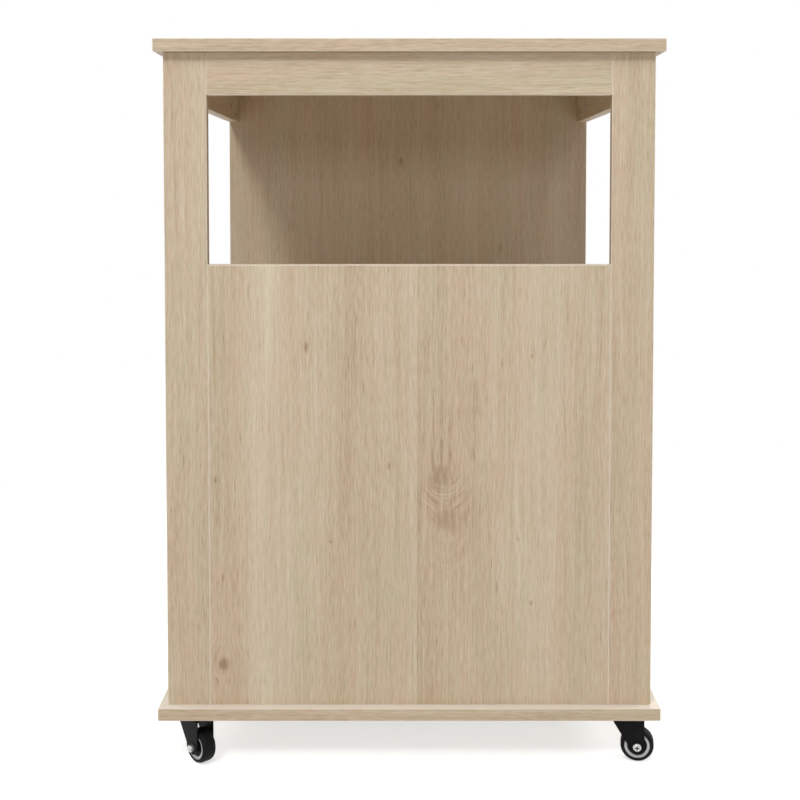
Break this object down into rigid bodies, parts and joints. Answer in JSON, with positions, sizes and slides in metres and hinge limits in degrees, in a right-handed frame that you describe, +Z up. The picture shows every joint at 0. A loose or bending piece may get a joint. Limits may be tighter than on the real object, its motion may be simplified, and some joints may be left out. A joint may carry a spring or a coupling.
{
  "type": "microwave cart",
  "caption": "Microwave cart on swivel casters: an open niche with an end window over a cabinet with two inset doors, in light oak-grain board.",
  "frame": {"origin": "on the floor, under the middle of the top board; the knobs stand 10 mm past the board's front edge", "axes": "+Z up; +X to the front, where the doors and knobs are; +Y to the right end, so the framed end with the window is at -Y"},
  "size_m": [0.61, 0.6, 0.87],
  "materials": {
    "oak_board": "oak-grain melamine, satin",
    "dowel_wood": "raw beech",
    "zinc_hardware": "bright zinc",
    "catch_plastic": "moulded",
    "knob_metal": "satin black",
    "caster_black": "satin black",
    "tyre": "matt",
    "rim_plastic": "light grey moulded",
    "hub_plastic": "black moulded"
  },
  "bodies": {
    "cabinet": {"top_board": "oak_board", "base_board": "oak_board", "left_end_front_stile": "oak_board", "left_end_back_stile": "oak_board", "left_end_top_rail": "oak_board", "left_end_lower_panel": "oak_board", "right_end_panel": "oak_board", "front_top_rail": "oak_board", "back_top_rail": "oak_board", "niche_shelf": "oak_board", "back_panel": "oak_board", "adjustable_shelf": "oak_board", "shelf_pins": "zinc_hardware", "cam_locks": "zinc_hardware", "cam_bolts": "zinc_hardware", "dowels": "dowel_wood", "base_screws": "zinc_hardware", "caster_screws": "zinc_hardware", "caster_kingpins": "zinc_hardware", "caster_washers": "catch_plastic", "magnetic_catch": "catch_plastic", "hinge_fixed_leaves": "zinc_hardware", "hinge_pins": "zinc_hardware", "small_screws_cabinet": "zinc_hardware", "caster_plate_front_left": "caster_black", "caster_plate_front_right": "caster_black", "caster_plate_back_left": "caster_black", "caster_plate_back_right": "caster_black"},
    "door_left": {"door_left": "oak_board", "knob_left": "knob_metal", "knob_screw_left": "zinc_hardware", "hinge_door_leaves_left": "zinc_hardware", "catch_plate_left": "zinc_hardware", "small_screws_left": "zinc_hardware"},
    "door_right": {"door_right": "oak_board", "knob_right": "knob_metal", "knob_screw_right": "zinc_hardware", "hinge_door_leaves_right": "zinc_hardware", "catch_plate_right": "zinc_hardware", "small_screws_right": "zinc_hardware"},
    "swivel_front_left": {"caster_fork_front_left": "caster_black", "caster_axle_front_left": "zinc_hardware"},
    "wheel_front_left": {"caster_tyre_front_left": "tyre", "caster_rim_front_left": "rim_plastic", "caster_hub_front_left": "hub_plastic"},
    "swivel_front_right": {"caster_fork_front_right": "caster_black", "caster_axle_front_right": "zinc_hardware"},
    "wheel_front_right": {"caster_tyre_front_right": "tyre", "caster_rim_front_right": "rim_plastic", "caster_hub_front_right": "hub_plastic"},
    "swivel_back_left": {"caster_fork_back_left": "caster_black", "caster_axle_back_left": "zinc_hardware"},
    "wheel_back_left": {"caster_tyre_back_left": "tyre", "caster_rim_back_left": "rim_plastic", "caster_hub_back_left": "hub_plastic"},
    "swivel_back_right": {"caster_fork_back_right": "caster_black", "caster_axle_back_right": "zinc_hardware"},
    "wheel_back_right": {"caster_tyre_back_right": "tyre", "caster_rim_back_right": "rim_plastic", "caster_hub_back_right": "hub_plastic"}
  },
  "joints": [
    {"name": "door_left_hinge", "type": "hinge", "parent": "cabinet", "child": "door_left", "pos_m": [0.2905, -0.2707, 0.28], "axis": [0, 0, -1], "range_deg": [0, 180]},
    {"name": "door_right_hinge", "type": "hinge", "parent": "cabinet", "child": "door_right", "pos_m": [0.2905, 0.2707, 0.28], "axis": [0, 0, 1], "range_deg": [0, 180]},
    {"name": "swivel_front_left_turn", "type": "hinge", "parent": "cabinet", "child": "swivel_front_left", "pos_m": [0.268, -0.267, 0.05], "axis": [0, 0, 1], "continuous": true},
    {"name": "wheel_front_left_roll", "type": "hinge", "parent": "swivel_front_left", "child": "wheel_front_left", "pos_m": [0.27785, -0.26874, 0.02], "axis": [0.1736, 0.9848, 0], "continuous": true},
    {"name": "swivel_front_right_turn", "type": "hinge", "parent": "cabinet", "child": "swivel_front_right", "pos_m": [0.268, 0.267, 0.05], "axis": [0, 0, 1], "continuous": true},
    {"name": "wheel_front_right_roll", "type": "hinge", "parent": "swivel_front_right", "child": "wheel_front_right", "pos_m": [0.27619, 0.27274, 0.02], "axis": [-0.5736, 0.8192, 0], "continuous": true},
    {"name": "swivel_back_left_turn", "type": "hinge", "parent": "cabinet", "child": "swivel_back_left", "pos_m": [-0.26, -0.267, 0.05], "axis": [0, 0, 1], "continuous": true},
    {"name": "wheel_back_left_roll", "type": "hinge", "parent": "swivel_back_left", "child": "wheel_back_left", "pos_m": [-0.25293, -0.27407, 0.02], "axis": [0.7071, 0.7071, 0], "continuous": true},
    {"name": "swivel_back_right_turn", "type": "hinge", "parent": "cabinet", "child": "swivel_back_right", "pos_m": [-0.26, 0.267, 0.05], "axis": [0, 0, 1], "continuous": true},
    {"name": "wheel_back_right_roll", "type": "hinge", "parent": "swivel_back_right", "child": "wheel_back_right", "pos_m": [-0.26906, 0.26277, 0.02], "axis": [0.4226, -0.9063, 0], "continuous": true}
  ]
}
